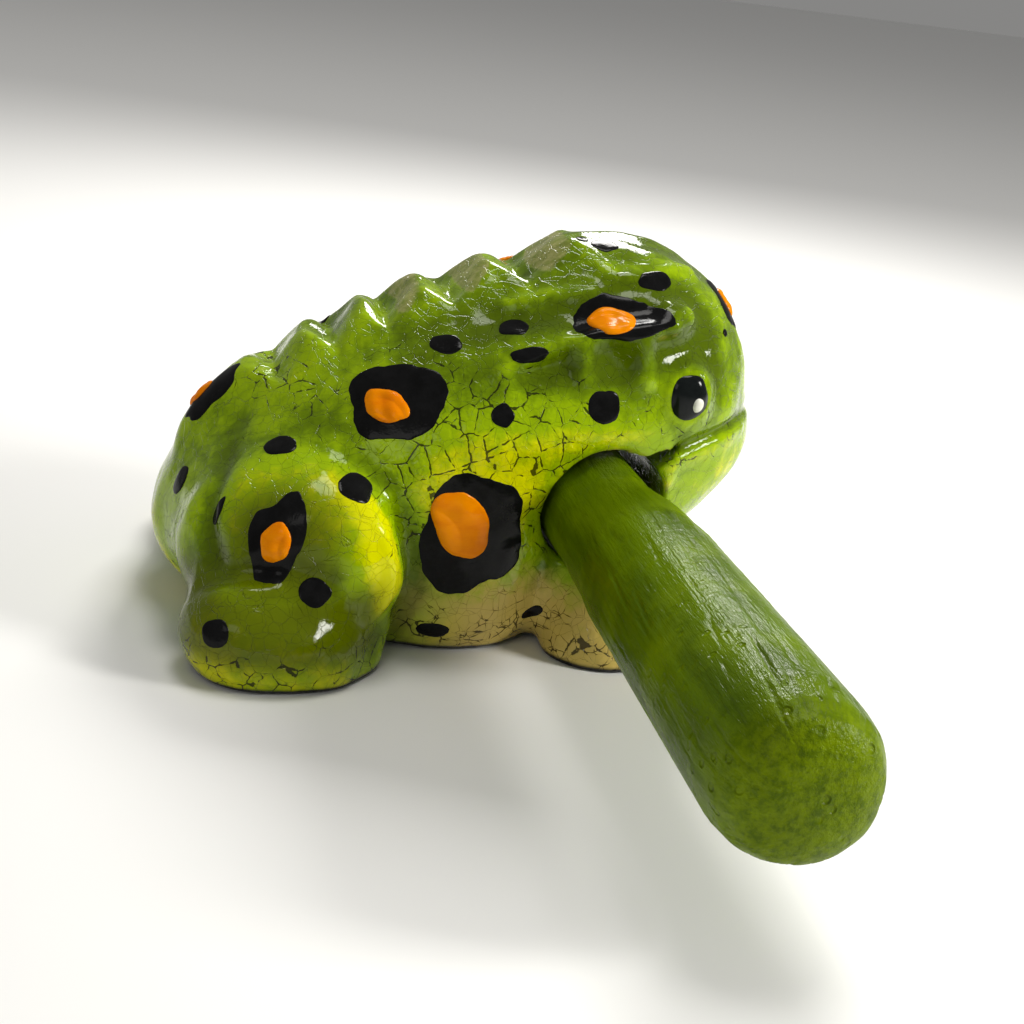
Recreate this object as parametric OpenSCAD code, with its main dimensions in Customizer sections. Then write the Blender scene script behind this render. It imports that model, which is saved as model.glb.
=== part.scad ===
// Croaking frog: a carved wooden scraper in the shape of a crouching frog, with a row of
// rasp teeth down its back, and the wooden stick that is kept in a hole across its throat.
// Millimetres. +X is the nose, +Y the frog's left side, +Z up; z = 0 is the flat underside.

/* [Frog] */
// Depth of the grooves between the rasp teeth
groove_depth = 3.7; // [1:0.1:4.5]
// Radius of the hole across the throat
bore_r = 8.1; // [8:0.05:8.8]
// Width of the saw cut that makes the mouth
mouth_w = 1.3; // [0.8:0.1:2.5]

/* [Stick] */
// Radius of the stick inside the hole
neck_r = 7.35; // [6.3:0.05:7.4]
// Radius of the stick where the grip begins
grip_r = 8.15; // [7.6:0.05:9]
// Radius of the stick near its outer end
end_r = 8.7; // [8:0.05:10]
// How far the stick stands out, from the frog's middle
reach = 90.5; // [60:0.5:110]

/* [Hidden] */

// Driving places
bore_at = [18, 0, 18.9];                   // middle of the hole across the throat
stick_at = [17.9, 0, 18.45];               // the stick hangs a little low in it
rump = [-16, 0, 9];                        // back end of the middle line inside the frog
chest = [18, 0, 14];                       // its front end
tooth_x = [-25.5, -19, -12.5, -6, 2.2, 11.7]; // crest of each rasp tooth, back to front
groove_x = [-22, -15.5, -9.2, -1.7, 6.9];  // bottom of each groove between them
mouth_tilt = 20;                           // the saw cut rises towards the nose
mouth_reach = 10.9;                        // and ends this far from the middle of the hole

// Skin mesh
fan_steps = 20;                            // rings that fan out over the rump, and over the head
core_steps = 28;                           // rings along the middle line between them
half_steps = 26;                           // points from the back down one side to the belly
march_steps = 22;
far = 62;                                  // a ray starts this far out, clear of the frog

// The frog is carved as rounded lobes that run into each other.
// Each one: centre, half sizes, yaw, nose-up pitch, and the width of its blend.
// The ones with a side are mirrored, because the field is read at |y|.
LOBES = [
    [[-2.7, 0, 22], [35.7, 21.5, 17.5], 0, 26, 0],      // back and chest
    [[0, 0, 8], [18, 20.5, 15.5], 0, 10, 6],            // belly
    [[20.5, 0, 30], [18, 16.5, 20.5], 0, 4, 6],         // head
    [[20, 0, 18.5], [9.5, 14, 13], 0, 0, 6],            // throat
    [[-20.5, 13.6, 13], [13, 13, 11.3], 4, 26, 4],      // haunch
    [[-15.4, 20.4, 12.7], [8.6, 7.6, 11], -6, 28, 2.5], // knee
    [[-20.8, 23.4, 3], [12.8, 9.5, 8.2], -22, -16, 4.5],// hind foot
    [[20, 17, 1], [7.5, 6, 9], 0, 0, 4],                // front foot
    [[14, 13, 39], [13, 3.6, 3], 0, 19, 3],             // brow
    [[26.5, 14, 33.6], [3.4, 2.6, 3.8], 0, 0, 2],       // eye
    [[-6, 0, 33], [29.5, 8.3, 8.6], 0, 27.5, 4],        // crest of the back
    [[29, 0, 24.5], [10.5, 11, 7], 0, 12, 4],           // lower jaw
    [[19, 13.5, 7.5], [6.5, 6, 8.5], 0, 0, 4],          // front leg
];

// Signed distance, near enough, from a lobe: negative inside
function turned(q, yaw, pitch) =
    let (x = q.x * cos(yaw) + q.y * sin(yaw), y = q.y * cos(yaw) - q.x * sin(yaw))
    [x * cos(pitch) + q.z * sin(pitch), y, q.z * cos(pitch) - x * sin(pitch)];
function over(q, r) = [q.x / r.x, q.y / r.y, q.z / r.z];
function lobe(p, l) =
    let (
        q = turned(p - l[0], l[2], l[3]),
        a = over(q, l[1]),
        k = norm(a)
    ) k < 0.05 ? -min(l[1]) : k * (k - 1) / norm(over(a, l[1]));

// Two distances run together over a band k wide
function soft_min(a, b, k) =
    let (h = max(0, min(1, 0.5 + 0.5 * (b - a) / k)))
    b + (a - b) * h - k * h * (1 - h);
function blended(p, i, d) =
    i == len(LOBES) ? d : blended(p, i + 1, soft_min(d, lobe(p, LOBES[i]), LOBES[i][4]));
function frog(p) =
    let (q = [p.x, abs(p.y), p.z]) blended(q, 1, lobe(q, LOBES[0]));

// Distance from the point o to the skin along d, walking in from far out
function walk(o, d, r, n) =
    n == 0 || r < 0 ? max(0, r) : walk(o, d, r - 0.95 * frog(o + r * d), n - 1);
function skin(o, d) = walk(o, d, far, march_steps);

// One ring of skin points. Its rays leave o at the angle tilt from the tail's direction,
// and turn about the X axis. Both sides come from one half.
function ring(o, tilt) =
    let (
        aim = [for (j = [0:half_steps]) let (a = 180 * j / half_steps)
            [-cos(tilt), sin(tilt) * sin(a), sin(tilt) * cos(a)]],
        r = [for (d = aim) skin(o, d)]
    )
    [for (j = [0:2 * half_steps - 1])
        let (left = j <= half_steps, k = left ? j : 2 * half_steps - j, q = o + r[k] * aim[k])
        [q.x, left ? q.y : -q.y, q.z]];

module blank() {
    n = 2 * half_steps;
    rings = [
        for (i = [1:fan_steps]) ring(rump, 90 * i / fan_steps),
        for (i = [1:core_steps]) ring(rump + (chest - rump) * i / core_steps, 90),
        for (i = [1:fan_steps - 1]) ring(chest, 90 + 90 * i / fan_steps),
    ];
    tail = n * len(rings);
    nose = tail + 1;
    poles = [rump - [skin(rump, [-1, 0, 0]), 0, 0], chest + [skin(chest, [1, 0, 0]), 0, 0]];
    sides = [for (i = [0:len(rings) - 2], j = [0:n - 1])
        let (a = i * n + j, b = i * n + (j + 1) % n) each [[a, b, b + n], [a, b + n, a + n]]];
    caps = [for (j = [0:n - 1]) each [
        [tail, (j + 1) % n, j],
        [nose, tail - n + j, tail - n + (j + 1) % n]]];
    polyhedron(points = concat([for (r = rings) each r], poles), faces = concat(sides, caps));
}

// Height of the back at x, before the grooves are cut
function crest(x) = rump.z + skin([x, 0, rump.z], [0, 0, 1]);

// A groove runs straight across the back, from one tooth's crest down and up to the next
module groove(i) {
    back = [tooth_x[i], crest(tooth_x[i])];
    front = [tooth_x[i + 1], crest(tooth_x[i + 1])];
    foot = [groove_x[i], crest(groove_x[i]) - groove_depth];
    rotate([90, 0, 0])
        linear_extrude(height = 70, center = true)
            polygon([foot, foot + 3 * (front - foot), foot + 3 * (back - foot)]);
}

// A round bar across the frog
module across(r, at, length) {
    translate(at)
        rotate([90, 0, 0])
            cylinder(r = r, h = length, center = true, $fn = 72);
}

module frog_body() {
    color("yellowgreen")
        difference() {
            blank();
            translate([-100, -100, -50]) cube([200, 200, 50]);
            across(bore_r, bore_at, 90);
            translate(bore_at)
                rotate([0, -mouth_tilt, 0])
                    translate([0, -45, bore_r / 2])
                        cube([mouth_reach, 90, mouth_w]);
            for (i = [0:len(groove_x) - 1]) groove(i);
        }
}

module stick() {
    inner = -15.5;                          // the inner end, just inside the far cheek
    shoulder = 36.5;                        // the neck ends here, and the grip begins
    color("forestgreen")
        translate(stick_at)
            rotate([90, 0, 0])
                rotate_extrude($fn = 72)
                    polygon([
                        [0, inner], [neck_r - 2, inner], [neck_r - 0.6, inner + 0.8], [neck_r, inner + 3],
                        [neck_r, shoulder - 14], [grip_r - 0.4, shoulder - 1.5], [grip_r, shoulder + 1.5],
                        [end_r, reach - 8], [end_r - 0.5, reach - 4], [end_r - 1.6, reach - 1.6],
                        [end_r - 3.6, reach - 0.3], [end_r - 5.5, reach], [0, reach],
                    ]);
}

frog_body();
stick();
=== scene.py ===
"""A carved wooden croaking frog, lacquered green with black and orange spots, and the wooden
stick that is kept in the hole across its throat.

Shapes are worked out in millimetres, in the part's own frame (+X nose, +Y the frog's left side,
+Z up, underside at z = 0), and written to the meshes in metres. The frog is one field, a signed
distance that is negative inside the wood, and every painted patch is laid on that same field.
"""
import math

import bpy
import numpy as np
from mathutils import Matrix, Vector


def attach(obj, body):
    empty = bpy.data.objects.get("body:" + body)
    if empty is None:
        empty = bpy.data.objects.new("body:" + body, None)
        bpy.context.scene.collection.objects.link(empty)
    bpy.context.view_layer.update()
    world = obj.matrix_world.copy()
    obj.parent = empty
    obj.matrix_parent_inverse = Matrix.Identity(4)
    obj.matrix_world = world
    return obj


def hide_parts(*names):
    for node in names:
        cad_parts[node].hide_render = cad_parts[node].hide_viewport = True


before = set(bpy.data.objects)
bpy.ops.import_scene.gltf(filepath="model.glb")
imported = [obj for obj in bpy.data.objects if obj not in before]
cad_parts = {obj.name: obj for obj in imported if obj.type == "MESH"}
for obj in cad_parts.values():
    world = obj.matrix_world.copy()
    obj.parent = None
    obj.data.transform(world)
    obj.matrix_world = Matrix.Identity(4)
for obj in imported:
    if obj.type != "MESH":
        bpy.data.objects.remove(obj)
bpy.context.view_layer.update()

MM = 0.001


# ---------------------------------------------------------------- the frog's field

# Rounded lobes that run into each other, as the CAD part has them: centre, half sizes, yaw,
# nose-up pitch, width of the blend. They are read at |y|, so the ones with a side come in pairs.
LOBES = {
    "back": ((-2.7, 0, 22), (35.7, 21.5, 17.5), 0, 26, 0),
    "belly": ((0, 0, 8), (18, 20.5, 15.5), 0, 10, 6),
    "head": ((20.5, 0, 30), (18, 16.5, 20.5), 0, 4, 6),
    "throat": ((20, 0, 18.5), (9.5, 14, 13), 0, 0, 6),
    "haunch": ((-20.5, 13.6, 13), (13, 13, 11.3), 4, 26, 4),
    "knee": ((-15.4, 20.4, 12.7), (8.6, 7.6, 11), -6, 28, 2.5),
    "hind_foot": ((-20.8, 23.4, 3), (12.8, 9.5, 8.2), -22, -16, 4.5),
    "front_foot": ((20, 17, 1), (7.5, 6, 9), 0, 0, 4),
    "brow": ((14, 13, 39), (13, 3.6, 3), 0, 19, 3),
    "eye": ((26.5, 14, 33.6), (3.4, 2.6, 3.8), 0, 0, 2),
    "crest": ((-6, 0, 33), (29.5, 8.3, 8.6), 0, 27.5, 4),
    "jaw": ((29, 0, 24.5), (10.5, 11, 7), 0, 12, 4),
    "front_leg": ((19, 13.5, 7.5), (6.5, 6, 8.5), 0, 0, 4),
}

# Knife work on the blocked-out shape: a route, half its width, and its depth.
# A positive depth is cut in, a negative one is left standing.
CUTS = [
    # brow: a crest with a scoop above it, which holds the big spot, and a fold of wood behind
    ([(2.6, 17, 35.4), (6.1, 16.4, 37.3), (10.1, 16.3, 39.4), (14.2, 16.4, 40.5),
      (18.8, 16.3, 41.2), (23.6, 15.6, 41.9)], 0.9, -0.7),
    ([(11.8, 14.8, 41.9), (15.5, 14.4, 42.9), (20.5, 14.2, 43.4)], 1.7, 1.0),
    ([(6, 12.8, 40.8), (11, 12.6, 42.6)], 1.5, 0.4),
    ([(4, 9.6, 42.2), (8, 10, 43.2), (13.7, 10.9, 44.6)], 1.2, -0.6),
    ([(2.8, 11, 40.8), (4.5, 11, 41.6)], 1.2, 0.6),
    # hollows and folds between the brow and the cheek
    ([(6.5, 17.6, 35.2), (10.2, 17.4, 37)], 1.9, 0.7),
    ([(12.4, 17, 38.8), (12.8, 17.4, 35.2)], 1.1, -0.7),
    ([(15.6, 17.2, 38.6), (17.2, 17.2, 36.6)], 1.7, 0.8),
    ([(20, 16.3, 39.6), (20.7, 16.6, 35.8)], 1.1, -0.8),
    ([(22.6, 16, 40), (25.5, 15.4, 39.4), (29, 13.4, 39)], 1.9, 0.6),
    # flat top of the head, edged from the front tooth to the snout
    ([(12.6, 3.5, 49), (17.1, 9.6, 46.5), (21.3, 9.9, 46.6), (27.6, 5.6, 47.4)], 1.2, -0.45),
    ([(17, 2, 49.8), (24, 2, 49.4), (29, 2, 47.8)], 4.0, 0.7),
    # mouth: the lip groove to the nose, the full lower lip, and its bulging corner
    ([(26.5, 15.6, 27.1), (29.5, 14.2, 28.1), (33.3, 11.8, 29.2), (36.8, 7.9, 29.8)], 0.7, 0.85),
    ([(36.8, 7.9, 29.8), (38.6, 4, 30.1), (39.2, 0, 30.2)], 0.7, 0.45),
    ([(28, 14.8, 25.8), (31.5, 13, 26.8), (34.6, 10.7, 28), (36.4, 8.4, 28.6)], 1.3, -0.5),
    ([(26.3, 15.7, 25.4), (25.4, 15.6, 22.8)], 1.3, -0.6),
    ([(22, 16.6, 28.8), (29, 14.6, 30.8), (35, 11, 32)], 2.2, -0.4),
    ([(2, 20.5, 27), (9, 19.5, 27.5), (14, 18.8, 28.8), (19, 17.8, 29)], 1.8, -0.5),
    # hind leg: the crease in front of the thigh, its edge, the instep crease and the calf
    ([(-11.5, 23.5, 25), (-9, 23, 21.5), (-7.2, 22.2, 17), (-6.2, 22, 12.5), (-7.0, 22, 7)], 1.3, 1.0),
    ([(-14.5, 24.3, 24.3), (-12, 25.6, 21.8), (-9.8, 26, 17.5), (-8.8, 26, 13),
      (-9.4, 25.6, 9)], 1.3, -0.6),
    ([(-8.2, 25, 7.4), (-9.6, 27, 3.4), (-11.5, 30.5, 0.6)], 2.0, 0.9),
    ([(-31, 24.5, 10.4), (-27.5, 26.4, 12.2), (-24.5, 27, 13)], 1.3, 0.8),
    ([(-24.5, 27, 13), (-20.5, 27.6, 13.2), (-17, 28, 12.6)], 1.6, 0.35),
    ([(-29.3, 28, 9.8), (-26.5, 28.6, 10.8), (-22.5, 29, 11.4)], 1.2, -0.35),
    ([(-27.3, 9, 25.6), (-28.9, 16, 21), (-29.4, 19.5, 16), (-28.6, 23, 12.6)], 1.7, 0.9),
    ([(-20.5, 20.8, 26.8), (-18.3, 22.6, 25.9), (-15.4, 23.8, 25)], 1.2, -0.5),
]

TOOTH_X = (-25.5, -19.0, -12.5, -6.0, 2.2, 11.7)      # crest of each rasp tooth
GROOVE_X = (-22.0, -15.5, -9.2, -1.7, 6.9)            # bottom of each groove between them
GROOVE_DEPTH = 3.7
BORE = (18.0, 18.9, 8.1)                              # x, z and radius of the hole
STICK = (17.9, 18.45)                                 # x and z of the stick's axis
MOUTH_TILT = math.radians(20)
MOUTH_REACH = 10.9
MOUTH_W = 1.3
RUMP = np.array((-16.0, 0.0, 9.0))                    # ends of the middle line inside the frog
CHEST = np.array((18.0, 0.0, 14.0))
EYE = np.array((26.5, 16.3, 33.8))
EYE_SIZE = (2.45, 2.9)
EYE_RIM = 0.22                                           # height of the raised ring round the eye
SPLINTER = [(19.4, 16.6, 27.6), (20.6, 16.6, 26.2), (21.4, 16.6, 25.3)]   # left above the hole
SPLINTER_R = 0.42

# How far edges are eased when the frog is painted
TOOTH_EASE = 1.0
GROOVE_EASE = 0.6
HOLE_EASE = 0.7
SOLE_EASE = 0.8

# The stick's profile: distances from the frog's middle, and radii
STICK_INNER, STICK_SHOULDER, STICK_TIP = -15.5, 36.5, 90.5
NECK_R, GRIP_R, END_R = 7.35, 8.15, 8.7
NECK_FLAT = 6.2                                          # the flat pared on the neck, from the axis


def soft_min(a, b, k):
    """The lesser of two distances, run together over a band k wide."""
    h = np.clip(0.5 + 0.5 * (b - a) / k, 0, 1)
    return b + (a - b) * h - k * h * (1 - h)


def soft_max(a, b, k):
    """The greater of two distances, with the edge between them eased over k."""
    return -soft_min(-a, -b, k)


def lobe(p, centre, half, yaw, pitch):
    """Near enough the distance to an ellipsoid: with k the length of the point over its half
    sizes, k * (k - 1) over the slope of k."""
    q = p - np.array(centre, float)
    cy, sy = math.cos(math.radians(yaw)), math.sin(math.radians(yaw))
    cp, sp = math.cos(math.radians(pitch)), math.sin(math.radians(pitch))
    x = q[..., 0] * cy + q[..., 1] * sy
    y = q[..., 1] * cy - q[..., 0] * sy
    x, z = x * cp + q[..., 2] * sp, q[..., 2] * cp - x * sp
    ax, ay, az = x / half[0], y / half[1], z / half[2]
    k = np.sqrt(ax * ax + ay * ay + az * az) + 1e-6
    slope = np.sqrt((ax / half[0]) ** 2 + (ay / half[1]) ** 2 + (az / half[2]) ** 2) + 1e-6
    return k * (k - 1) / slope


def route_distance(p, route):
    """Distance from each point to the nearest stretch of a route of straight lines."""
    best = np.full(p.shape[:-1], 1e9)
    for a, b in zip(np.array(route[:-1], float), np.array(route[1:], float)):
        ab = b - a
        t = np.clip(((p - a) @ ab) / (ab @ ab), 0, 1)
        best = np.minimum(best, np.linalg.norm(p - a - t[..., None] * ab, axis=-1))
    return best


def blocked_out(p):
    """The frog as lobes only."""
    q = np.stack([p[..., 0], np.abs(p[..., 1]), p[..., 2]], -1)
    f = None
    for centre, half, yaw, pitch, k in LOBES.values():
        g = lobe(q, centre, half, yaw, pitch)
        f = g if f is None else soft_min(f, g, k)
    return f


def uneven(p, size, depth, seed):
    """The hand of the carver: a few flat waves in scattered directions, added up."""
    rng = np.random.default_rng(seed)
    total = np.zeros(p.shape[:-1])
    for _ in range(7):
        way = rng.normal(size=3)
        way *= 2 * math.pi / (size * rng.uniform(0.7, 1.6)) / np.linalg.norm(way)
        total += np.sin(p @ way + rng.uniform(0, 6.28))
    return total * depth / 2.6


def carved(p):
    """The lobes with the knife work on them."""
    q = np.stack([p[..., 0], np.abs(p[..., 1]), p[..., 2]], -1)
    f = blocked_out(p)
    for route, width, depth in CUTS:
        low, high = np.min(route, 0) - 3 * width, np.max(route, 0) + 3 * width
        near = ((q > low) & (q < high)).all(-1)
        f[near] += depth * np.exp(-(route_distance(q[near], route) / width) ** 2)
    rho = np.sqrt(((q[..., 0] - EYE[0]) / EYE_SIZE[0]) ** 2 + ((q[..., 2] - EYE[2]) / EYE_SIZE[1]) ** 2)
    near = np.exp(-((q[..., 1] - EYE[1]) / 3.0) ** 2)
    f = f - EYE_RIM * near * np.exp(-((rho - 1.16) / 0.12) ** 2)
    return f + uneven(p, 9, 0.12, 3) + uneven(p, 3.2, 0.035, 4)


def walk(field, start, way, far=62.0, steps=30):
    """Distance from start to the skin along way: from far out, step in by the distance left."""
    r = np.full(np.broadcast_shapes(start.shape, way.shape)[:-1], far)
    for _ in range(steps):
        r = np.maximum(0, r - 0.95 * field(start + r[..., None] * way))
    return r


def crest_height(x):
    """Height of the back at x before the grooves are cut."""
    start = np.array([[x, 0.0, RUMP[2]]])
    return RUMP[2] + walk(blocked_out, start, np.array([[0.0, 0.0, 1.0]]))[0]


def groove_lines():
    """For each groove its foot, and the two crests that its walls run up to, as (x, z)."""
    lines = []
    for i, x in enumerate(GROOVE_X):
        foot = np.array([x, crest_height(x) - GROOVE_DEPTH])
        back = np.array([TOOTH_X[i], crest_height(TOOTH_X[i])])
        front = np.array([TOOTH_X[i + 1], crest_height(TOOTH_X[i + 1])])
        lines.append((foot, back, front))
    return lines


GROOVES = groove_lines()


def above(p, a, b):
    """Height of each point over the line from a to b in the x, z plane, with a behind b."""
    run, rise = (b - a) / np.linalg.norm(b - a)
    return (p[..., 2] - a[1]) * run - (p[..., 0] - a[0]) * rise


def rasped(p):
    """The carved frog with V grooves straight across its back."""
    f = carved(p)
    near = p[..., 2] > 22
    q = p[near]
    q[:, 0] += 0.3 * np.sin(q[:, 1] * 0.5 + q[:, 0] * 0.21)
    q[:, 2] += 0.22 * np.sin(q[:, 1] * 0.8 + q[:, 0] * 0.6)
    g = f[near]
    for foot, back, front in GROOVES:
        cut = soft_min(above(q, back, foot), above(q, foot, front), GROOVE_EASE)
        g = soft_max(g, cut, TOOTH_EASE)
    f[near] = g
    return f


def frog(p):
    """The finished wood: rasped, drilled across the throat, sawn for the mouth, flat below.
    In the mouth cut, u runs from the hole's axis towards the nose and v squarely up from the
    cut's middle. The cut is wider where it opens into the hole."""
    f = rasped(p)
    dx, dz = p[..., 0] - BORE[0], p[..., 2] - BORE[1]
    f = soft_max(f, BORE[2] - np.hypot(dx, dz), HOLE_EASE)
    u = dx * math.cos(MOUTH_TILT) + dz * math.sin(MOUTH_TILT)
    v = dz * math.cos(MOUTH_TILT) - dx * math.sin(MOUTH_TILT) - BORE[2] / 2 - MOUTH_W / 2
    open_end = smooth_step(10.6, 7.4, u)
    v = v + 0.12 * np.sin(u * 2.1) + 0.08 * np.sin(u * 5.3 + 1) + 0.55 * open_end
    half = MOUTH_W / 2 * (0.7 + 1.15 * open_end)
    slot = np.hypot(np.maximum(0, np.maximum(-u, u - MOUTH_REACH + 0.5)), v) - half
    f = soft_max(f, -slot, 0.3)
    q = np.stack([p[..., 0], np.abs(p[..., 1]), p[..., 2]], -1)
    f = soft_min(f, route_distance(q, SPLINTER) - SPLINTER_R, 0.5)
    return soft_max(f, -p[..., 2], SOLE_EASE)


def slope(field, p, h=0.02):
    """The field's slope at each point, by differences."""
    f = field(p)
    return f, np.stack([(field(p + h * e) - f) / h for e in np.eye(3)], -1)


def settle(field, p, turns=4, reach=0.6):
    """Moves points straight down the field's slope until they lie on the skin."""
    for _ in range(turns):
        f, g = slope(field, p)
        step = f / np.maximum((g * g).sum(-1), 0.2)
        p = p - np.clip(step, -reach, reach)[..., None] * g
    return p


# ---------------------------------------------------------------- meshes

def new_mesh(name, points, faces):
    """A smooth mesh object from points in mm and faces, in metres, with its place in its mesh."""
    mesh = bpy.data.meshes.new(name)
    mesh.from_pydata((np.asarray(points) * MM).tolist(), [], faces)
    mesh.polygons.foreach_set("use_smooth", np.full(len(mesh.polygons), True))
    mesh.update()
    obj = bpy.data.objects.new(name, mesh)
    bpy.context.collection.objects.link(obj)
    return obj


def tube_faces(rows, around, first=0):
    """Quads of a grid of rows that closes on itself round each row."""
    i, j = np.meshgrid(np.arange(rows - 1), np.arange(around), indexing="ij")
    a, b = i * around + j, i * around + (j + 1) % around
    return (first + np.stack([a, b, b + around, a + around], -1)).reshape(-1, 4)


def capped_tube(grid, start, end):
    """Points and faces of a closed skin: a grid of rings, and a point that closes each end."""
    rows, around = grid.shape[:2]
    points = np.concatenate([grid.reshape(-1, 3), [start], [end]])
    j = np.arange(around)
    k = (j + 1) % around
    last = (rows - 1) * around
    faces = tube_faces(rows, around).tolist()
    faces += np.stack([0 * j + rows * around, k, j], -1).tolist()
    faces += np.stack([0 * j + rows * around + 1, last + j, last + k], -1).tolist()
    return points, faces


def fan_skin(field, fan, core, around):
    """The skin met by rays: they fan out round the rump, stand square to the middle line along
    the body, and fan in to the nose. Two parameters: the place along that, and the angle round."""
    tilt = np.radians(np.concatenate([
        90 * np.arange(1, fan + 1) / fan, np.full(core, 90.0), 90 + 90 * np.arange(1, fan) / fan]))
    t = np.concatenate([np.zeros(fan), np.arange(1, core + 1) / core, np.ones(fan - 1)])
    turn = np.linspace(2 * math.pi, 0, around, endpoint=False)
    start = (RUMP + (CHEST - RUMP) * t[:, None])[:, None, :]
    way = np.stack([
        -np.cos(tilt)[:, None] + 0 * turn,
        np.sin(tilt)[:, None] * np.sin(turn),
        np.sin(tilt)[:, None] * np.cos(turn)], -1)
    grid = start + walk(field, start, way)[..., None] * way
    back, nose = np.array([[-1.0, 0, 0]]), np.array([[1.0, 0, 0]])
    return capped_tube(grid, RUMP + walk(field, RUMP[None], back)[0] * back[0],
                       CHEST + walk(field, CHEST[None], nose)[0] * nose[0])


def cutter(name, points, faces):
    """A closed solid that only cuts: it is removed afterwards."""
    obj = new_mesh(name, points, faces)
    obj.hide_render = True
    return obj


def bar_points(outline, reach=60.0):
    """A closed outline in x, z carried across the frog along Y."""
    outline = np.array(outline, float)
    ends = [np.column_stack([outline[:, 0], np.full(len(outline), y), outline[:, 1]])
            for y in (-reach, reach)]
    n = len(outline)
    faces = [[n + i, n + (i + 1) % n, (i + 1) % n, i] for i in range(n)]
    faces += [list(range(n)), list(range(n, 2 * n))[::-1]]
    return np.concatenate(ends), faces


def baked(obj):
    """The object's mesh with its modifiers applied, and the modifiers gone."""
    graph = bpy.context.evaluated_depsgraph_get()
    mesh = bpy.data.meshes.new_from_object(obj.evaluated_get(graph))
    obj.modifiers.clear()
    obj.data = mesh
    return mesh


def read_points(mesh):
    """The mesh's points in mm."""
    co = np.empty(len(mesh.vertices) * 3)
    mesh.vertices.foreach_get("co", co)
    return co.reshape(-1, 3) / MM


def write_points(mesh, points):
    """Puts points in mm into the mesh."""
    mesh.vertices.foreach_set("co", (points * MM).ravel())
    mesh.update()


def add_mask(mesh, name, values):
    """A number per point that a material reads."""
    layer = mesh.attributes.new(name, "FLOAT", "POINT")
    layer.data.foreach_set("value", np.asarray(values, np.float32))


def smooth_step(low, high, x):
    """0 below low, 1 above high, eased between."""
    t = np.clip((x - low) / (high - low), 0, 1)
    return t * t * (3 - 2 * t)


def bare_wood(p):
    """How far the paint is rubbed off: the rear wall of the three front teeth, near the crest."""
    worn = np.zeros(len(p))
    for (foot, _, front), amount in zip(GROOVES[2:], (0.75, 0.95, 1.0)):
        wall = np.exp(-(above(p, foot, front) / 1.0) ** 2)
        up = (p[:, 2] - foot[1]) / (front[1] - foot[1])
        along = smooth_step(0.1, 0.45, up) * smooth_step(1.15, 0.85, up)
        near = (p[:, 0] > foot[0] - 0.5) & (p[:, 0] < front[0] + 0.8)
        worn = np.maximum(worn, amount * wall * along * near)
    return worn * smooth_step(8.5, 4.5, np.abs(p[:, 1] + 1.2))


def aged_lacquer(p):
    """How much the lacquer has crackled: most on the flank under the spots and round the cheek,
    some on the belly and the soles, little on the back, the head and the thigh."""
    x, y, z = p[:, 0], np.abs(p[:, 1]), p[:, 2]
    flank = np.exp(-((x - 2) / 15) ** 4 - ((z - 24) / 12) ** 4)
    cheek = 0.55 * np.exp(-((x - 27) / 8) ** 2 - ((z - 28) / 9) ** 2)
    rump = 0.65 * np.exp(-((x + 22) / 11) ** 2 - ((z - 30) / 5) ** 2)
    sole = 0.75 * np.exp(-((z - 3) / 4) ** 2)
    thigh = 0.6 * np.exp(-((x + 20) / 10) ** 2 - ((z - 16) / 9) ** 2) * smooth_step(18, 23, y)
    return np.clip(np.maximum.reduce([flank, cheek, rump, sole]) - thigh, 0, 1)


def yellow_and_thigh_highlight(p):
    """Where the green turns yellow: the flank and cheek round the hole, the jaw, and the lower
    edge of the feet; and a painted highlight, yellow-green, down the front edge of the thigh. It
    goes below 0, for deeper green, high on the back and on the head."""
    x, y, z = p[:, 0], np.abs(p[:, 1]), p[:, 2]
    q = np.column_stack([x, y, z])
    flank = 0.9 * np.exp(-((x - 5) / 11) ** 2 - ((z - 21) / 8) ** 2)
    # painted highlight: yellow-green down the front edge of the thigh, where the light falls on it
    thigh_edge = [(-14, 24.5, 24), (-10, 26.5, 17), (-9.5, 26.5, 8)]
    thigh = 1.1 * np.exp(-(route_distance(q, thigh_edge) / 2.8) ** 2)
    chin = 0.45 * np.exp(-((x - 34) / 6) ** 2 - ((z - 22) / 6) ** 2)
    sole = 0.35 * np.exp(-((z - 1) / 4.5) ** 2)
    back = 0.7 * smooth_step(32, 42, z) * smooth_step(8, 14, y)
    top = 0.3 * smooth_step(30, 40, z)
    return np.clip(np.maximum.reduce([flank, thigh, chin, sole]) - back - top, -1, 1.2)


def shade_on_thigh_and_foot(p):
    """Painted shade: where the green is made deep and olive, on the outside of the thigh and the back of
    the foot, the sides that are turned from the light.
    """
    x, y, z = p[:, 0], np.abs(p[:, 1]), p[:, 2]
    thigh = np.exp(-((x + 22) / 7.5) ** 4 - ((z - 15) / 8) ** 4) * smooth_step(19, 24, y)
    foot = smooth_step(14, 9, z) * smooth_step(-8, -12, x) * smooth_step(12, 20, y)
    foot = foot * (1 - 0.75 * smooth_step(5, 1.5, z))
    return np.maximum(thigh, foot)


def cutting_tools():
    """The drill for the hole, the saw for the mouth and the plane for the flat underside."""
    turn = np.linspace(0, 2 * math.pi, 96, endpoint=False)
    hole = np.column_stack([BORE[0] + BORE[2] * np.cos(turn), BORE[1] + BORE[2] * np.sin(turn)])
    ct, st = math.cos(MOUTH_TILT), math.sin(MOUTH_TILT)
    box = [(0, 0), (MOUTH_REACH, 0), (MOUTH_REACH, MOUTH_W), (0, MOUTH_W)]
    cut = [(BORE[0] + u * ct - (v + BORE[2] / 2) * st, BORE[1] + u * st + (v + BORE[2] / 2) * ct)
           for u, v in box]
    floor = [(-90, -40), (90, -40), (90, 0), (-90, 0)]
    return [cutter(name, *bar_points(line))
            for name, line in (("drill", hole), ("saw", cut), ("plane", floor))]


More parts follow.
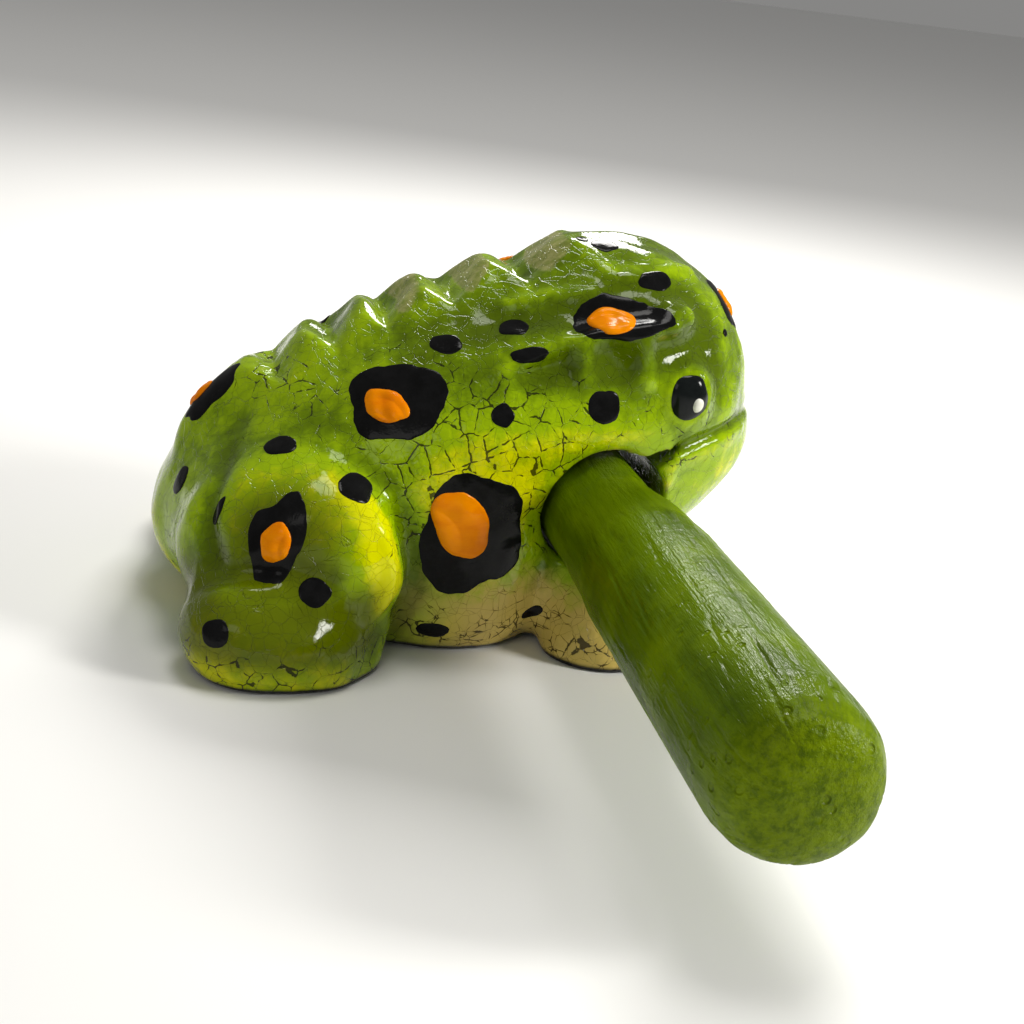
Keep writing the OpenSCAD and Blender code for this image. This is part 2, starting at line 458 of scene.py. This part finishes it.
def bulges(p, reach=1.6):
    """How far the skin stands out round each point: the blocked-out field's values a reach away
    along each axis, less six times its value at the point, over the reach squared. It is damped
    round the eyes."""
    total = sum(blocked_out(p + reach * e) + blocked_out(p - reach * e) for e in np.eye(3))
    total = np.clip((total - 6 * blocked_out(p)) / reach / reach, -0.5, 0.5)
    by_eye = np.linalg.norm(np.column_stack([p[:, 0], np.abs(p[:, 1]), p[:, 2]]) - EYE, axis=1)
    return total * (1 - 0.85 * np.exp(-(by_eye / 5) ** 2))


def make_frog():
    """The carved block. The ray-met skin is drilled and sawn, given an even mesh, and settled
    back on to the field, which also rounds the edges of the hole and the cut."""
    points, faces = fan_skin(rasped, 70, 110, 260)
    obj = new_mesh("carved_frog", points, faces)
    tools = cutting_tools()
    for tool in tools:
        mod = obj.modifiers.new(tool.name, "BOOLEAN")
        mod.object = tool
        mod.operation = "DIFFERENCE"
        mod.solver = "EXACT"
    even = obj.modifiers.new("even", "REMESH")
    even.mode = "VOXEL"
    even.voxel_size = 0.47 * MM
    mesh = baked(obj)
    for tool in tools:
        bpy.data.objects.remove(tool)
    mesh.polygons.foreach_set("use_smooth", np.full(len(mesh.polygons), True))
    p = settle(frog, read_points(mesh), 4)
    p[:, 2] = np.maximum(p[:, 2], 0)
    write_points(mesh, p)
    outward = slope(frog, p)[1]
    # bulge and hollow give the painted highlight on what stands out and the painted shade in carved
    # hollows
    add_mask(mesh, "bulge", bulges(p))
    add_mask(mesh, "hollow", np.clip(carved(p) - blocked_out(p), -1, 1))
    add_mask(mesh, "bare", bare_wood(p))
    add_mask(mesh, "aged", aged_lacquer(p))
    # yellow on the flank, cheek, jaw and feet, with a painted highlight down the front edge of the thigh
    add_mask(mesh, "yellow_and_painted_light", yellow_and_thigh_highlight(p))
    # painted shade on the outside of the thigh and the back of the foot
    add_mask(mesh, "painted_shade", shade_on_thigh_and_foot(p))
    add_mask(mesh, "facing_down", -outward[:, 2] / np.linalg.norm(outward, axis=1))
    return obj


def patches(name, spots, thick, rings, spokes, ragged, seed, dome=8.0, folds=0.0):
    """Paint laid on the skin, one closed shell for each spot.

    A spot is a place near the skin, half its length and width, and how far its length is turned
    from level. Its outline is an ellipse times a ragged line: a few slow waves and many small
    ones. The points are set out flat over the spot, settled on the skin, then raised by the
    paint's thickness, which falls away at the rim as (1 - r ** dome) to the half. Folds are
    brush marks in thick paint: waves bent along the spot."""
    rng = np.random.default_rng(seed)
    r = np.sin(np.linspace(0, math.pi / 2, rings + 1))[1:]
    turn = np.linspace(0, 2 * math.pi, spokes, endpoint=False)
    points, faces, first = [], [], 0
    for place, half_l, half_w, lean in spots:
        edge = np.ones(spokes)
        for wave in (2, 3, 4, 5, 7, 9, 13, 17, 23, 31):
            size = ragged * rng.uniform(0.4, 1.2) * (1.0 if wave < 6 else 0.35 * 5 / wave)
            edge += size * np.sin(wave * turn + rng.uniform(0, 6.28))
        centre = settle(frog, np.array([place], float), 8, 3.0)
        normal = slope(frog, centre)[1][0]
        normal /= np.linalg.norm(normal)
        level = np.cross(np.array([0, 0, 1.0]), normal)
        level = level / (np.linalg.norm(level) + 1e-9)
        level = level if level[0] > 0 or abs(level[0]) < 1e-6 else -level
        rise = np.cross(normal, level)
        rise = rise if rise[2] > 0 else -rise
        c, s = math.cos(math.radians(lean)), math.sin(math.radians(lean))
        long_way, wide_way = c * level + s * rise, c * rise - s * level
        radius = r[:, None] * edge[None, :]
        flat = (half_l * radius * np.cos(turn))[..., None] * long_way
        flat = flat + (half_w * radius * np.sin(turn))[..., None] * wide_way
        flat = np.concatenate([flat.reshape(-1, 3), [[0, 0, 0]]])
        on_skin = settle(frog, centre + flat, 6, 1.2)
        way = slope(frog, on_skin)[1]
        way /= np.linalg.norm(way, axis=1)[:, None]
        full = np.append(np.repeat(r, spokes), 0.0)
        height = thick * np.sqrt(np.maximum(0, 1 - full ** dome))
        if folds:
            u, v = flat @ long_way / half_l, flat @ wide_way / half_w
            height += folds * thick * (1 - full ** 4) * (
                np.abs(np.sin(3.1 * v + 2.2 * u * u + rng.uniform(0, 3))) - 0.6
                + 0.35 * np.sin(7 * u + 3 * v + rng.uniform(0, 6)))
        height[(rings - 1) * spokes:rings * spokes] = -0.05
        top = on_skin + height[:, None] * way
        under = on_skin - 0.3 * way
        n = rings * spokes
        j = np.arange(spokes)
        k = (j + 1) % spokes
        flip = np.dot(np.cross(long_way, wide_way), normal) < 0
        for base, sheet, turned in ((0, top, flip), (n + 1, under, not flip)):
            points.append(sheet)
            quads = tube_faces(rings, spokes, first + base)
            fan = np.stack([0 * j + first + base + n, first + base + j, first + base + k], -1)
            faces += (quads if turned else quads[:, ::-1]).tolist()
            faces += (fan[:, ::-1] if turned else fan).tolist()
        rim = (rings - 1) * spokes
        wall = first + np.stack([rim + j, rim + k, n + 1 + rim + k, n + 1 + rim + j], -1)
        faces += (wall if flip else wall[:, ::-1]).tolist()
        first += 2 * (n + 1)
    return new_mesh(name, np.concatenate(points), faces)


# Big spots: a black patch with an orange dab. Place, half length, half width, lean in degrees.
BIG_BLACK = [
    ((-9.3, -16.5, 31.1), 5.8, 5.3, 8),       # flank
    ((1.0, -20.6, 16.4), 7.6, 6.9, -68),      # side of the belly
    ((-22.6, -26.0, 16.8), 5.8, 3.1, 88),     # thigh
    ((17.3, -15.2, 42.2), 6.2, 4.8, 14),      # brow
]
BIG_ORANGE = [
    ((-10.4, -16.8, 30.4), 2.9, 2.0, -8),
    ((-0.6, -20.9, 17.6), 4.8, 3.3, -58),
    ((-22.8, -26.3, 16.1), 2.4, 1.8, 82),
    ((15.6, -14.8, 43.0), 2.9, 2.5, 12),
]
# Big spots that have no twin: forehead, rump, and the far side of the front grooves
LONE_BLACK = [
    ((33.6, -2.2, 42.8), 4.4, 3.9, 0),
    ((-28.6, -1.2, 25.6), 2.8, 4.6, 0),
    ((5.4, 9.6, 43.0), 4.6, 3.0, 0),
]
LONE_ORANGE = [
    ((34.0, -1.6, 42.6), 2.4, 2.0, 0),
    ((-29.6, 0.2, 24.8), 1.2, 2.0, 0),
    ((7.4, 9.0, 43.9), 2.0, 1.5, 0),
]
# Small black spots
SMALL_BLACK = [
    ((-3.3, -12.5, 37.2), 2.0, 1.6, 0),
    ((4.6, -12.4, 39.9), 1.9, 1.6, 0),
    ((6.1, -16.3, 37.4), 2.4, 1.1, 10),
    ((3.0, -19.6, 30.9), 1.4, 1.4, 0),
    ((15.5, -18.2, 32.4), 2.1, 2.1, 0),
    ((-22.2, -16.3, 24.6), 2.1, 1.7, 30),
    ((-13.9, -22.7, 21.9), 2.4, 2.0, 0),
    ((-18.1, -28.6, 11.3), 1.9, 1.7, 0),
    ((-29.1, -31.3, 6.9), 1.7, 1.7, 0),
    ((-2.2, -19.5, 3.5), 2.0, 1.2, 0),
    ((10.6, -16.4, 5.2), 1.6, 0.8, 24),
    ((21.9, -9.8, 46.3), 2.2, 1.5, 0),
    ((32.2, -9.2, 40.5), 0.5, 0.5, 0),
]
# Small ones with no twin, on the top of the head, the rump and the far side of the teeth
LONE_SMALL = [
    ((16.5, -4.5, 49.6), 1.7, 1.4, 0),
    ((14.0, -3.1, 49.5), 0.8, 0.7, 0),
    ((-32.7, -7.6, 16.7), 1.5, 1.9, 0),
    ((-29.5, -20.3, 17.6), 0.8, 1.8, 0),
    ((-3.0, 9.4, 39.8), 1.7, 1.3, 0),
    ((-15.8, 8.8, 34.6), 2.0, 1.5, 0),
]


def make_stick():
    """The stick: its profile carried along -Y, and the radius made less where wood is gone.
    Inside the hole it is round but for one flat pared on the neck. Outside, the grip has a dozen
    soft furrows between its facets, and fine ones along the grain."""
    x, z = STICK
    inner, shoulder, tip = STICK_INNER, STICK_SHOULDER, STICK_TIP
    at = np.array([inner, inner + 0.8, inner + 3, shoulder - 14, shoulder - 1.5, shoulder + 1.5,
                   tip - 8, tip - 4, tip - 1.6, tip - 0.3, tip])
    size = np.array([NECK_R - 2, NECK_R - 0.6, NECK_R, NECK_R, GRIP_R - 0.4, GRIP_R,
                     END_R, END_R - 0.5, END_R - 1.6, END_R - 3.6, END_R - 5.5])
    rounding = tip - 9 * np.cos(np.linspace(0, math.pi / 2, 50))
    s = np.concatenate([np.linspace(inner, tip - 9, 320), rounding[1:]])
    turn = np.linspace(0, 2 * math.pi, 260, endpoint=False)
    radius = np.interp(s, at, size)
    kernel = np.hanning(7) / np.hanning(7).sum()
    radius = np.convolve(np.pad(radius, 3, mode="edge"), kernel, "valid")
    outside = smooth_step(shoulder - 6, shoulder + 4, s)[:, None]
    rng = np.random.default_rng(12)
    drop = np.zeros((len(s), len(turn)))
    for i in range(12):
        centre = 2 * math.pi * (i + rng.uniform(-0.3, 0.3)) / 12
        centre = centre + rng.uniform(-0.15, 0.15) * (s[:, None] / 90)
        off = np.abs((turn - centre + math.pi) % (2 * math.pi) - math.pi)
        drop = np.maximum(drop, 0.12 * np.exp(-(off / 0.2) ** 2))
    for _ in range(260):
        middle, where = rng.uniform(16, tip - 3), rng.uniform(0, 2 * math.pi)
        length, wide, deep = rng.uniform(1.5, 6), rng.uniform(0.012, 0.026), rng.uniform(0.06, 0.2)
        off = (turn - where - 0.01 * (s[:, None] - middle) + math.pi) % (2 * math.pi) - math.pi
        drop += deep * np.exp(-(off / wide) ** 2 - ((s[:, None] - middle) / length) ** 4)
    flat_at = NECK_FLAT + 2.4 * smooth_step(24, 35, s)[:, None]
    across_flat = flat_at / np.maximum(np.cos(turn - math.radians(48)), 0.2)
    full = soft_min(radius[:, None] - drop * (0.25 + 0.75 * outside), across_flat, 0.8)
    grid = np.stack([x + full * np.cos(turn), -s[:, None] + 0 * full, z + full * np.sin(turn)], -1)
    lumps = uneven(grid * (1, 0.3, 1), 6, 0.07, 8) + uneven(grid, 2.0, 0.025, 9)
    grid[..., 0] -= lumps.clip(0, 1) * np.cos(turn)
    grid[..., 2] -= lumps.clip(0, 1) * np.sin(turn)
    points, faces = capped_tube(grid, (x, -inner, z), (x, -tip, z))
    return new_mesh("stick_wood", points, faces)


# ---------------------------------------------------------------- materials

def paint(red, green, blue):
    """A colour named as a paint chart gives it, 0 to 255, made linear."""
    c = np.array((red, green, blue)) / 255
    c = np.where(c < 0.04045, c / 12.92, ((c + 0.055) / 1.055) ** 2.4)
    return (*c.tolist(), 1.0)


LIME = paint(148, 178, 0)
OLIVE = paint(108, 136, 0)
MOSS = paint(78, 98, 0)
YELLOW_GREEN = paint(222, 222, 0)
CREAM = paint(200, 176, 92)
CRACK = paint(26, 22, 4)
SOLE_BLACK = paint(20, 18, 18)
# shaded copies of the green, for the painted shade on the outside of the thigh and the back of the foot
SHADED_GREEN = paint(82, 92, 0)
SHADED_YELLOW = paint(130, 132, 0)
WORN_GREEN = paint(126, 136, 60)
WORN_WOOD = paint(176, 172, 112)
STAIN_DARK = paint(68, 90, 0)
STAIN_LIGHT = paint(100, 126, 0)
STAIN_FURROW = paint(58, 74, 0)
STAIN_RUBBED = paint(118, 142, 0)
END_LIGHT = paint(118, 138, 0)
END_DARK = paint(72, 92, 0)


class Tree:
    """Short ways to add and join nodes in one node tree."""

    def __init__(self, tree):
        self.tree = tree

    def add(self, kind, inputs=None, **settings):
        n = self.tree.nodes.new(kind)
        for key, value in settings.items():
            setattr(n, key, value)
        for key, value in (inputs or {}).items():
            self.put(value, n.inputs[key])
        return n

    def put(self, value, socket):
        if isinstance(value, bpy.types.NodeSocket):
            self.tree.links.new(value, socket)
        else:
            socket.default_value = value

    def math(self, operation, a, b):
        return self.add("ShaderNodeMath", {0: a, 1: b}, operation=operation).outputs[0]

    def vector(self, operation, a, b):
        return self.add("ShaderNodeVectorMath", {0: a, 1: b}, operation=operation).outputs[0]

    def ramp(self, value, low, high, out_low=0.0, out_high=1.0):
        n = self.add("ShaderNodeMapRange", {0: value, 1: low, 2: high, 3: out_low, 4: out_high},
                     interpolation_type="SMOOTHSTEP")
        return n.outputs[0]

    def mix(self, factor, a, b):
        n = self.add("ShaderNodeMix", data_type="RGBA")
        self.put(factor, n.inputs[0])
        self.put(a, n.inputs[6])
        self.put(b, n.inputs[7])
        return n.outputs[2]

    def noise(self, vector, scale, detail, rough=0.55):
        n = self.add("ShaderNodeTexNoise", {"Vector": vector, "Scale": scale, "Detail": detail,
                                            "Roughness": rough})
        return n.outputs[0]

    def noise_colour(self, vector, scale, detail):
        n = self.add("ShaderNodeTexNoise", {"Vector": vector, "Scale": scale, "Detail": detail})
        return n.outputs[1]

    def mask(self, name):
        return self.add("ShaderNodeAttribute", attribute_name=name).outputs["Fac"]


def group(name, inputs, outputs):
    """A node group with named sockets. Returns its tree, its inputs and its output node."""
    tree = bpy.data.node_groups.new(name, "ShaderNodeTree")
    for label, kind, value in inputs:
        socket = tree.interface.new_socket(label, in_out="INPUT", socket_type=kind)
        if value is not None:
            socket.default_value = value
    for label, kind in outputs:
        tree.interface.new_socket(label, in_out="OUTPUT", socket_type=kind)
    t = Tree(tree)
    return t, t.add("NodeGroupInput").outputs, t.add("NodeGroupOutput").inputs


def crackle_group():
    """Fine cracks in old lacquer: the borders of scattered cells, jogged by noise, and broken
    where noise says that the paint held. Amount opens them, from none at 0 to all at 1."""
    t, i, o = group(
        "crackle",
        [("Vector", "NodeSocketVector", None), ("Cell", "NodeSocketFloat", 0.004),
         ("Width", "NodeSocketFloat", 0.0001), ("Amount", "NodeSocketFloat", 0.5)],
        [("Mask", "NodeSocketFloat"), ("Lift", "NodeSocketFloat")])
    per_metre = t.math("DIVIDE", 1.0, i["Cell"])
    jog = t.noise_colour(i["Vector"], 900.0, 3.0)
    jog = t.vector("SUBTRACT", jog, (0.5, 0.5, 0.5))
    scaled = t.add("ShaderNodeVectorMath", {0: jog}, operation="SCALE")
    t.put(t.math("MULTIPLY", i["Cell"], 0.24), scaled.inputs["Scale"])
    moved = t.vector("ADD", i["Vector"], scaled.outputs[0])
    edge = t.add("ShaderNodeTexVoronoi", {"Vector": moved, "Scale": per_metre, "Randomness": 1.0},
                 feature="DISTANCE_TO_EDGE").outputs[0]
    away = t.math("MULTIPLY", edge, i["Cell"])
    held = t.noise(i["Vector"], 420.0, 2.0)
    open_part = t.ramp(t.math("ADD", held, t.math("MULTIPLY", i["Amount"], 0.44)), 0.66, 0.88)
    gaps = t.noise(i["Vector"], 1100.0, 1.0)
    open_part = t.math("MULTIPLY", open_part, t.ramp(gaps, 0.36, 0.56))
    width = t.math("MULTIPLY", i["Width"], open_part)
    rim = t.math("DIVIDE", t.math("SUBTRACT", width, away), 0.00006)
    t.put(t.ramp(rim, -0.45, 0.45), o["Mask"])
    t.put(t.math("MULTIPLY", t.ramp(away, 0.0, 0.0006), open_part), o["Lift"])
    return t.tree


def grain_group():
    """Wood grain: noise drawn out along one axis, in broad bands and fine lines."""
    t, i, o = group(
        "wood_grain",
        [("Vector", "NodeSocketVector", None), ("Stretch", "NodeSocketVector", (1.0, 1.0, 1.0))],
        [("Bands", "NodeSocketFloat"), ("Lines", "NodeSocketFloat")])
    drawn = t.vector("MULTIPLY", i["Vector"], i["Stretch"])
    t.put(t.noise(drawn, 160.0, 3.0), o["Bands"])
    t.put(t.noise(drawn, 900.0, 4.0, 0.7), o["Lines"])
    return t.tree


def new_material(name):
    """A material with one Principled shader. Returns it, its tree and the shader."""
    mat = bpy.data.materials.new(name)
    mat.use_nodes = True
    mat.node_tree.nodes.clear()
    t = Tree(mat.node_tree)
    shader = t.add("ShaderNodeBsdfPrincipled")
    out = t.add("ShaderNodeOutputMaterial")
    t.put(shader.outputs[0], out.inputs[0])
    place = t.add("ShaderNodeTexCoord").outputs["Object"]
    return mat, t, shader, place


def use_group(t, tree, **inputs):
    n = t.add("ShaderNodeGroup", node_tree=tree)
    for key, value in inputs.items():
        t.put(value, n.inputs[key])
    return n.outputs


def finish_shader(t, shader, colour, rough, height, strength, distance, coat, coat_rough):
    """Joins colour, roughness and bump to a lacquered shader."""
    bump = t.add("ShaderNodeBump", {"Strength": strength, "Distance": distance, "Height": height})
    t.put(colour, shader.inputs["Base Color"])
    t.put(rough, shader.inputs["Roughness"])
    t.put(bump.outputs[0], shader.inputs["Normal"])
    t.put(bump.outputs[0], shader.inputs["Coat Normal"])
    shader.inputs["Specular IOR Level"].default_value = 0.0
    shader.inputs["Coat IOR"].default_value = 1.28
    shader.inputs["Coat Weight"].default_value = coat
    shader.inputs["Coat Roughness"].default_value = coat_rough


def frog_paint(crackle, grain):
    """Green lacquer: moss and olive on the back, lime on the flanks, yellow-green on the flank and
    cheek round the hole, the jaw and the feet, cream on the belly, black under the soles, and fine
    cracks. Light and shade are painted in as well: yellower on bulges, on raised folds and down
    the front edge of the thigh, as painted highlight; deeper green in the carved hollows, and a
    deep olive on the outside of the thigh and the back of the foot, as painted shade."""
    mat, t, shader, place = new_material("frog_paint")
    split = t.add("ShaderNodeSeparateXYZ", {0: place}).outputs
    bulge, hollow, down = t.mask("bulge"), t.mask("hollow"), t.mask("facing_down")
    cloud = t.noise(place, 80.0, 4.0, 0.6)
    fine = t.noise(place, 520.0, 4.0, 0.65)
    # bulges are made yellower: painted highlight on what stands out
    yellow_and_painted_light = t.math("ADD", t.math("MULTIPLY", t.mask("yellow_and_painted_light"), 0.9), t.math("MULTIPLY", bulge, 1.6))
    yellow_and_painted_light = t.math("ADD", yellow_and_painted_light, t.math("MULTIPLY", t.math("SUBTRACT", cloud, 0.45), 1.9))
    # carved hollows are made deeper green, as painted shade; raised folds and the ring round the eye come
    # out yellower, as painted highlight
    yellow_and_painted_light = t.math("SUBTRACT", yellow_and_painted_light, t.math("MULTIPLY", hollow, 0.6))
    # painted shade: a deep olive on the outside of the thigh and the back of the foot
    painted_shade = t.mask("painted_shade")
    yellow_and_painted_light = t.math("ADD", yellow_and_painted_light, t.math("MULTIPLY", t.math("SUBTRACT", fine, 0.5), 0.9))
    colour = t.mix(t.ramp(yellow_and_painted_light, -0.55, 0.05), MOSS, OLIVE)
    colour = t.mix(t.ramp(yellow_and_painted_light, -0.15, 0.35), colour, LIME)
    colour = t.mix(t.ramp(yellow_and_painted_light, 0.38, 1.0), colour, YELLOW_GREEN)
    shaded_paint = t.mix(t.ramp(yellow_and_painted_light, 0.4, 1.7), SHADED_GREEN, SHADED_YELLOW)
    colour = t.mix(t.math("MULTIPLY", painted_shade, 0.92), colour, shaded_paint)
    belly = t.math("ADD", t.ramp(split[2], 0.017, 0.003), t.math("MULTIPLY", down, 0.5))
    under_body = t.ramp(split[0], -0.010, 0.004)
    belly = t.ramp(t.math("ADD", belly, t.math("MULTIPLY", t.math("ADD", cloud, fine), 0.75)), 0.95, 1.6)
    belly = t.math("MULTIPLY", belly, under_body)
    colour = t.mix(belly, colour, CREAM)
    aged = t.mask("aged")
    big = use_group(t, crackle, Vector=place, Cell=0.0027, Width=0.00010, Amount=aged)
    small = use_group(t, crackle, Vector=place, Cell=0.0016, Width=0.00005,
                      Amount=t.math("ADD", t.math("MULTIPLY", aged, 0.25), t.math("MULTIPLY", belly, 0.4)))
    cracks = t.math("MAXIMUM", big["Mask"], small["Mask"])
    wood = use_group(t, grain, Vector=place, Stretch=(0.25, 1.0, 1.0))
    bare = t.math("ADD", t.mask("bare"), t.math("MULTIPLY", t.math("SUBTRACT", fine, 0.5), 0.9))
    bare = t.ramp(bare, 0.32, 0.62)
    wood_colour = t.mix(t.ramp(wood["Lines"], 0.3, 0.7), WORN_GREEN, WORN_WOOD)
    colour = t.mix(t.math("MULTIPLY", cracks, 0.88), colour, CRACK)
    colour = t.mix(t.math("MULTIPLY", bare, 0.85), colour, wood_colour)
    under = t.ramp(t.math("ADD", split[2], t.math("MULTIPLY", cloud, 0.0012)), 0.0016, 0.0010)
    colour = t.mix(under, colour, SOLE_BLACK)
    orange_peel = t.noise(place, 700.0, 2.0)
    height = t.math("ADD", t.math("MULTIPLY", fine, 0.22), t.math("MULTIPLY", orange_peel, 0.1))
    height = t.math("SUBTRACT", height, cracks)
    height = t.math("ADD", height, t.math("MULTIPLY", big["Lift"], 0.3))
    height = t.math("SUBTRACT", height, t.math("MULTIPLY", bare, t.math("MULTIPLY", wood["Lines"], 0.5)))
    finish_shader(t, shader, colour, t.math("ADD", 0.34, t.math("MULTIPLY", cracks, 0.4)), height,
                  0.6, 0.0003, 1.0, 0.06)
    return mat


def spot_paint(name, colour, other, rough, scale=(1.0, 1.0, 1.0), strength=0.3, coat=1.0):
    """Brushed paint: one colour, a little of another where the brush lifted."""
    mat, t, shader, place = new_material(name)
    drawn = t.vector("MULTIPLY", place, scale)
    strokes = t.noise(drawn, 520.0, 4.0, 0.7)
    blot = t.noise(place, 240.0, 2.0)
    shade = t.mix(t.ramp(strokes, 0.4, 0.7, 0.0, 0.5), colour, other)
    shade = t.mix(t.ramp(blot, 0.4, 0.7, 0.0, 0.4), shade, other)
    finish_shader(t, shader, shade, rough, strokes, strength, 0.00012, coat, 0.12)
    return mat


def stick_paint(grain):
    """Deep green stain on whittled wood: dark in the furrows, yellow where it is rubbed and on
    the end grain, which is pitted."""
    mat, t, shader, place = new_material("stick_paint")
    split = t.add("ShaderNodeSeparateXYZ", {0: place}).outputs
    wood = use_group(t, grain, Vector=place, Stretch=(1.0, 0.1, 1.0))
    cloud = t.noise(place, 110.0, 3.0)
    colour = t.mix(t.ramp(wood["Bands"], 0.32, 0.68), STAIN_DARK, STAIN_LIGHT)
    colour = t.mix(t.ramp(wood["Lines"], 0.52, 0.78, 0.0, 0.55), colour, STAIN_FURROW)
    colour = t.mix(t.ramp(cloud, 0.42, 0.75, 0.0, 0.5), colour, STAIN_RUBBED)
    tip = t.ramp(split[1], -0.084, -0.0905)
    pores = t.noise(place, 900.0, 3.0, 0.7)
    end_colour = t.mix(t.ramp(pores, 0.35, 0.7), END_LIGHT, END_DARK)
    colour = t.mix(t.math("MULTIPLY", tip, 0.7), colour, end_colour)
    pits = t.add("ShaderNodeTexVoronoi", {"Vector": place, "Scale": 520.0}).outputs[0]
    pits = t.math("MULTIPLY", t.ramp(pits, 0.28, 0.12), t.ramp(cloud, 0.38, 0.6))
    height = t.math("MULTIPLY", wood["Lines"], -0.8)
    near_tip = t.ramp(split[1], -0.06, -0.086, 0.15, 0.8)
    height = t.math("SUBTRACT", height, t.math("MULTIPLY", pits, near_tip))
    height = t.math("ADD", height, t.math("MULTIPLY", pores, 0.35))
    finish_shader(t, shader, colour, 0.45, height, 0.9, 0.0004, 0.5, 0.24)
    return mat


# ---------------------------------------------------------------- assembly

crackle = crackle_group()
grain = grain_group()
black = spot_paint("black_spot_paint", paint(12, 12, 12), paint(26, 26, 27), 0.5,
                   strength=0.5, coat=0.6)
eye_black = spot_paint("eye_paint", paint(14, 18, 18), paint(22, 26, 26), 0.3, strength=0.12)
orange = spot_paint("orange_dab_paint", paint(246, 146, 0), paint(228, 112, 0), 0.4,
                    scale=(0.5, 1.0, 1.6), strength=0.4, coat=0.5)
white = spot_paint("white_dot_paint", paint(238, 238, 226), paint(214, 214, 200), 0.3)

frog_wood = make_frog()
frog_wood.data.materials.append(frog_paint(crackle, grain))
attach(frog_wood, "frog")
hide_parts("frog_body")


def mirrored(spots):
    """The same spots on the frog's other side, shifted a little, because each is put on by eye."""
    rng = np.random.default_rng(5)
    return [((x + rng.uniform(-1, 1), -y, z + rng.uniform(-1, 1)), a, b, lean)
            for (x, y, z), a, b, lean in spots]


both_black = BIG_BLACK + mirrored(BIG_BLACK) + LONE_BLACK
both_small = SMALL_BLACK + mirrored(SMALL_BLACK) + LONE_SMALL
black_spots = patches("black_spots", both_black, 0.1, ragged=0.06, rings=26, spokes=160, seed=2)
small_spots = patches("small_black_spots", both_small, 0.14, ragged=0.032, rings=12, spokes=72, seed=3)
both_orange = BIG_ORANGE + mirrored(BIG_ORANGE) + LONE_ORANGE
orange_dabs = patches("orange_dabs", both_orange, 0.45, ragged=0.03, rings=24, spokes=110,
                      dome=5.0, folds=0.3, seed=4)
eye_spots = [((EYE[0], side * EYE[1], EYE[2]), EYE_SIZE[0], EYE_SIZE[1], 0) for side in (-1, 1)]
eyes = patches("eye_beads", eye_spots, 0.45, rings=20, spokes=90, dome=3.0, ragged=0.012, seed=6)
glints = patches("eye_dots", [((27.4, side * 16.5, 33.1), 0.8, 1.0, 0) for side in (-1, 1)], 0.72,
                 rings=10, spokes=48, dome=3.0, ragged=0.02, seed=7)
for piece, mat, slot in ((black_spots, black, "black_paint"), (small_spots, black, "black_paint"),
                         (orange_dabs, orange, "orange_paint"), (eyes, eye_black, "black_paint"),
                         (glints, white, "white_paint")):
    piece.data.materials.append(mat)
    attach(piece, "frog")

stick_wood = make_stick()
stick_wood.data.materials.append(stick_paint(grain))
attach(stick_wood, "stick")
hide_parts("stick")

# ---------------------------------------------------------------- floor, light and camera

FLOOR = 2000                                             # half its width
floor = new_mesh("floor", [(-FLOOR, -FLOOR, 0), (FLOOR, -FLOOR, 0), (FLOOR, FLOOR, 0), (-FLOOR, FLOOR, 0)],
                 [(0, 1, 2, 3)])
floor_mat, _, floor_shader, _ = new_material("pale_floor")
floor_shader.inputs["Base Color"].default_value = (0.84, 0.84, 0.83, 1)
floor_shader.inputs["Roughness"].default_value = 0.6
floor.data.materials.append(floor_mat)

world = bpy.data.worlds.new("studio")
world.use_nodes = True
sky = world.node_tree.nodes["Background"].inputs
sky["Color"].default_value = (1, 0.99, 0.97, 1)
sky["Strength"].default_value = 0.24
bpy.context.scene.world = world
bpy.context.scene.view_settings.view_transform = "Standard"


def soft_box(name, place, target, size, power):
    """A square studio light at a place in mm, turned to its target."""
    data = bpy.data.lights.new(name, "AREA")
    data.size = size * MM
    data.energy = power
    data.color = (1, 0.98, 0.94)
    obj = bpy.data.objects.new(name, data)
    bpy.context.collection.objects.link(obj)
    obj.location = np.array(place) * MM
    way = Vector(np.array(target) * MM) - obj.location
    obj.rotation_euler = way.to_track_quat("-Z", "Y").to_euler()


soft_box("key", (300, -150, 200), (5, -10, 25), 90, 1.05)
soft_box("fill", (-160, -300, 220), (0, 0, 20), 140, 0.1)
soft_box("back", (90, 260, 250), (10, 0, 30), 110, 0.95)
soft_box("top", (80, 80, 1000), (0, 0, 0), 350, 3.4)

# The camera looks from the frog's right, a little behind square, and leans to its left.
AZIMUTH, ELEVATION, ROLL = (math.radians(a) for a in (-14.07, 18.31, 7.67))
DISTANCE = 232.2
TARGET = np.array((8.33, -8.87, 15.41))
back_way = np.array((math.sin(AZIMUTH) * math.cos(ELEVATION),
                     -math.cos(AZIMUTH) * math.cos(ELEVATION),
                     math.sin(ELEVATION)))
right_way = np.array((math.cos(AZIMUTH), math.sin(AZIMUTH), 0.0))
up_way = np.cross(back_way, right_way)
lean_right = math.cos(ROLL) * right_way + math.sin(ROLL) * up_way
lean_up = math.cos(ROLL) * up_way - math.sin(ROLL) * right_way
camera_data = bpy.data.cameras.new("camera")
camera_data.lens = 65.04
camera_data.sensor_width = 36
camera_data.clip_start = 0.01
camera_data.clip_end = 20
camera = bpy.data.objects.new("camera", camera_data)
bpy.context.collection.objects.link(camera)
place = (TARGET + DISTANCE * back_way) * MM
camera.matrix_world = Matrix([
    [lean_right[k], lean_up[k], back_way[k], place[k]] for k in range(3)] + [[0, 0, 0, 1]])
bpy.context.scene.camera = camera
